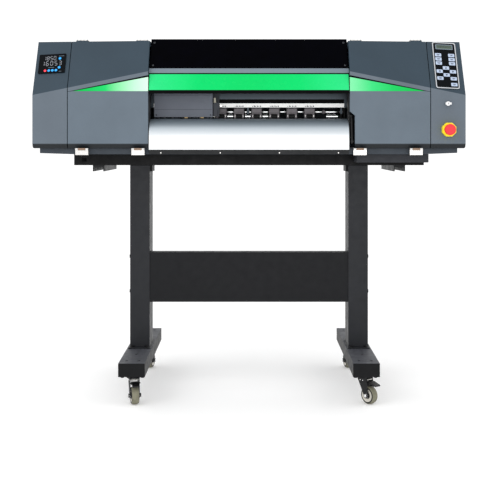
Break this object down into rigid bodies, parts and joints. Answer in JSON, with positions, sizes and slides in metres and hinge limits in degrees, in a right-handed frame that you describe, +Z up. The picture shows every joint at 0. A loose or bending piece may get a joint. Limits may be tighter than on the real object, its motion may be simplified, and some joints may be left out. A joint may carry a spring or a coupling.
{
  "type": "printer cutter",
  "caption": "Wide-format roll printer cutter: hinged doors and lid over a platen, sliding print and cut carriage, control panels, and a T-leg stand on swivel casters.",
  "frame": {"origin": "on the floor, at the centre of the bounding box's underside", "axes": "+X to the machine's right as seen from the front, +Y to its back, +Z up"},
  "size_m": [1.583, 0.66, 1.331],
  "materials": {
    "cover_dark": "satin charcoal moulding",
    "cover_grey": "satin mid grey moulding",
    "black_plate": "satin black powder coat",
    "tray_grey": "satin dark grey paint",
    "stand_black": "fine textured black powder coat",
    "box_grey": "satin grey paint",
    "bright_steel": "brushed",
    "chrome_steel": "polished",
    "satin_alu": "satin anodised",
    "apron_alu": "pale satin sheet",
    "green_plastic": "gloss green",
    "black_acrylic": "polished black acrylic",
    "trim_grey": "satin grey trim",
    "belt_black": "matt",
    "pinch_rubber": "matt",
    "black_plastic": "satin black",
    "head_gold": "satin",
    "cream_plastic": "satin cream",
    "keypad_film": "printed film in a silver bezel",
    "lcd_glass": "green-grey display window",
    "yellow_plastic": "satin yellow",
    "red_plastic": "gloss red",
    "tyre_grey": "grey non-marking tyre on a pale hub"
  },
  "bodies": {
    "chassis": {"foot_left": "stand_black", "foot_right": "stand_black", "column_left": "stand_black", "column_right": "stand_black", "crossbar": "stand_black", "stand_beam": "stand_black", "stand_bolts": "bright_steel", "caster_plates": "bright_steel", "base_tray": "tray_grey", "waste_tray": "box_grey", "side_plate_left": "black_plate", "side_plate_right": "black_plate", "end_cap_left": "cover_dark", "end_cap_right": "cover_dark", "rear_cover": "tray_grey", "platen": "satin_alu", "apron": "apron_alu", "front_strip": "black_plate", "guide_beam": "satin_alu", "hinge_leaves": "bright_steel", "timing_belt": "belt_black", "keypad_panel": "keypad_film", "lcd_window": "lcd_glass", "temp_panel": "black_plastic", "estop_collar": "yellow_plastic", "roll_brackets": "black_plate", "power_inlet": "black_plastic"},
    "lid": {"lid_window": "black_acrylic", "lid_trim": "trim_grey", "lid_band": "green_plastic", "lid_lip": "black_plastic"},
    "cover_left": {"upper_cover_left": "cover_dark"},
    "cover_right": {"upper_cover_right": "cover_dark"},
    "lower_door_left": {"door_left": "cover_grey", "wedge_left": "green_plastic"},
    "lower_door_right": {"door_right": "cover_grey", "wedge_right": "green_plastic"},
    "carriage": {"carriage_plate": "black_plate", "carriage_cover": "cover_grey", "print_head": "head_gold"},
    "cutter": {"blade_holder": "cream_plastic"},
    "drive_wheel": {"drive_pulley": "satin_alu"},
    "idler_wheel": {"idler_pulley": "satin_alu"},
    "feed": {"feed_roller": "bright_steel"},
    "pinch_bank": {"pinch_arms": "satin_alu"},
    "pinch_rollers": {"pinch_wheels": "pinch_rubber"},
    "lever": {"lift_lever": "black_plastic"},
    "stop_button": {"estop_button": "red_plastic"},
    "key": {"key_switch": "chrome_steel"},
    "roll_shaft": {"media_shaft": "satin_alu"},
    "yoke_fl": {"caster_yoke_fl": "black_plate"},
    "wheel_fl": {"caster_wheel_fl": "tyre_grey"},
    "pedal_fl": {"brake_pedal_fl": "black_plastic"},
    "yoke_fr": {"caster_yoke_fr": "black_plate"},
    "wheel_fr": {"caster_wheel_fr": "tyre_grey"},
    "pedal_fr": {"brake_pedal_fr": "black_plastic"},
    "yoke_rl": {"caster_yoke_rl": "black_plate"},
    "wheel_rl": {"caster_wheel_rl": "tyre_grey"},
    "yoke_rr": {"caster_yoke_rr": "black_plate"},
    "wheel_rr": {"caster_wheel_rr": "tyre_grey"}
  },
  "joints": [
    {"name": "lid_hinge", "type": "hinge", "parent": "chassis", "child": "lid", "pos_m": [0, -0.104, 1.3242], "axis": [-1, 0, 0], "range_deg": [0, 80]},
    {"name": "cover_hinge_left", "type": "hinge", "parent": "chassis", "child": "cover_left", "pos_m": [-0.512, -0.125, 1.3238], "axis": [-1, 0, 0], "range_deg": [0, 80]},
    {"name": "door_hinge_left", "type": "hinge", "parent": "chassis", "child": "lower_door_left", "pos_m": [-0.512, -0.24, 0.917], "axis": [1, 0, 0], "range_deg": [0, 95]},
    {"name": "cover_hinge_right", "type": "hinge", "parent": "chassis", "child": "cover_right", "pos_m": [0.512, -0.125, 1.3238], "axis": [-1, 0, 0], "range_deg": [0, 80]},
    {"name": "door_hinge_right", "type": "hinge", "parent": "chassis", "child": "lower_door_right", "pos_m": [0.512, -0.24, 0.917], "axis": [1, 0, 0], "range_deg": [0, 95]},
    {"name": "carriage_travel", "type": "slide", "parent": "chassis", "child": "carriage", "axis": [1, 0, 0], "range_m": [-0.24, 0.74]},
    {"name": "cutter_drop", "type": "slide", "parent": "carriage", "child": "cutter", "axis": [0, 0, -1], "range_m": [0, 0.003]},
    {"name": "drive_pulley_turn", "type": "hinge", "parent": "chassis", "child": "drive_wheel", "pos_m": [0.63, -0.0915, 1.172], "axis": [0, 1, 0], "range_deg": [-1500, 4500]},
    {"name": "idler_pulley_turn", "type": "hinge", "parent": "chassis", "child": "idler_wheel", "pos_m": [-0.63, -0.0915, 1.172], "axis": [0, 1, 0], "range_deg": [-1500, 4500]},
    {"name": "feed_turn", "type": "hinge", "parent": "chassis", "child": "feed", "pos_m": [0, -0.078, 1.0176], "axis": [1, 0, 0], "continuous": true},
    {"name": "pinch_lift", "type": "hinge", "parent": "chassis", "child": "pinch_bank", "pos_m": [0, -0.066, 1.058], "axis": [-1, 0, 0], "range_deg": [0, 8]},
    {"name": "pinch_turn", "type": "hinge", "parent": "pinch_bank", "child": "pinch_rollers", "pos_m": [0, -0.078, 1.0395], "axis": [1, 0, 0], "continuous": true},
    {"name": "lever_turn", "type": "hinge", "parent": "chassis", "child": "lever", "pos_m": [0.377, -0.195, 1.04], "axis": [-1, 0, 0], "range_deg": [0, 60]},
    {"name": "stop_press", "type": "slide", "parent": "chassis", "child": "stop_button", "axis": [0, 1, 0], "range_m": [0, 0.0045]},
    {"name": "key_turn", "type": "hinge", "parent": "chassis", "child": "key", "pos_m": [0.726, -0.24, 1.083], "axis": [0, 1, 0], "range_deg": [0, 90]},
    {"name": "media_shaft_turn", "type": "hinge", "parent": "chassis", "child": "roll_shaft", "pos_m": [0, 0.282, 0.892], "axis": [1, 0, 0], "continuous": true},
    {"name": "swivel_fl", "type": "hinge", "parent": "chassis", "child": "yoke_fl", "pos_m": [-0.418, -0.262, 0.095], "axis": [0, 0, 1], "continuous": true},
    {"name": "wheel_turn_fl", "type": "hinge", "parent": "yoke_fl", "child": "wheel_fl", "pos_m": [-0.41179, -0.28518, 0.0315], "axis": [0.9659, 0.2588, 0], "continuous": true},
    {"name": "brake_fl", "type": "hinge", "parent": "yoke_fl", "child": "pedal_fl", "pos_m": [-0.41075, -0.28905, 0.076], "axis": [0.9659, 0.2588, 0], "range_deg": [0, 4]},
    {"name": "swivel_fr", "type": "hinge", "parent": "chassis", "child": "yoke_fr", "pos_m": [0.418, -0.262, 0.095], "axis": [0, 0, 1], "continuous": true},
    {"name": "wheel_turn_fr", "type": "hinge", "parent": "yoke_fr", "child": "wheel_fr", "pos_m": [0.43374, -0.28011, 0.0315], "axis": [0.7547, 0.6561, 0], "continuous": true},
    {"name": "brake_fr", "type": "hinge", "parent": "yoke_fr", "child": "pedal_fr", "pos_m": [0.43637, -0.28313, 0.076], "axis": [0.7547, 0.6561, 0], "range_deg": [0, 4]},
    {"name": "swivel_rl", "type": "hinge", "parent": "chassis", "child": "yoke_rl", "pos_m": [-0.418, 0.262, 0.095], "axis": [0, 0, 1], "continuous": true},
    {"name": "wheel_turn_rl", "type": "hinge", "parent": "yoke_rl", "child": "wheel_rl", "pos_m": [-0.41383, 0.28563, 0.0315], "axis": [-0.9848, 0.1736, 0], "continuous": true},
    {"name": "swivel_rr", "type": "hinge", "parent": "chassis", "child": "yoke_rr", "pos_m": [0.418, 0.262, 0.095], "axis": [0, 0, 1], "continuous": true},
    {"name": "wheel_turn_rr", "type": "hinge", "parent": "yoke_rr", "child": "wheel_rr", "pos_m": [0.41383, 0.28563, 0.0315], "axis": [-0.9848, -0.1736, 0], "continuous": true}
  ],
  "couplings": [
    {"joint": "drive_pulley_turn", "follows": "carriage_travel", "rad_per_m": 100},
    {"joint": "idler_pulley_turn", "follows": "carriage_travel", "rad_per_m": 100},
    {"joint": "pinch_lift", "follows": "lever_turn", "ratio": 0.13333},
    {"joint": "pinch_turn", "follows": "feed_turn", "ratio": -1.3889}
  ]
}
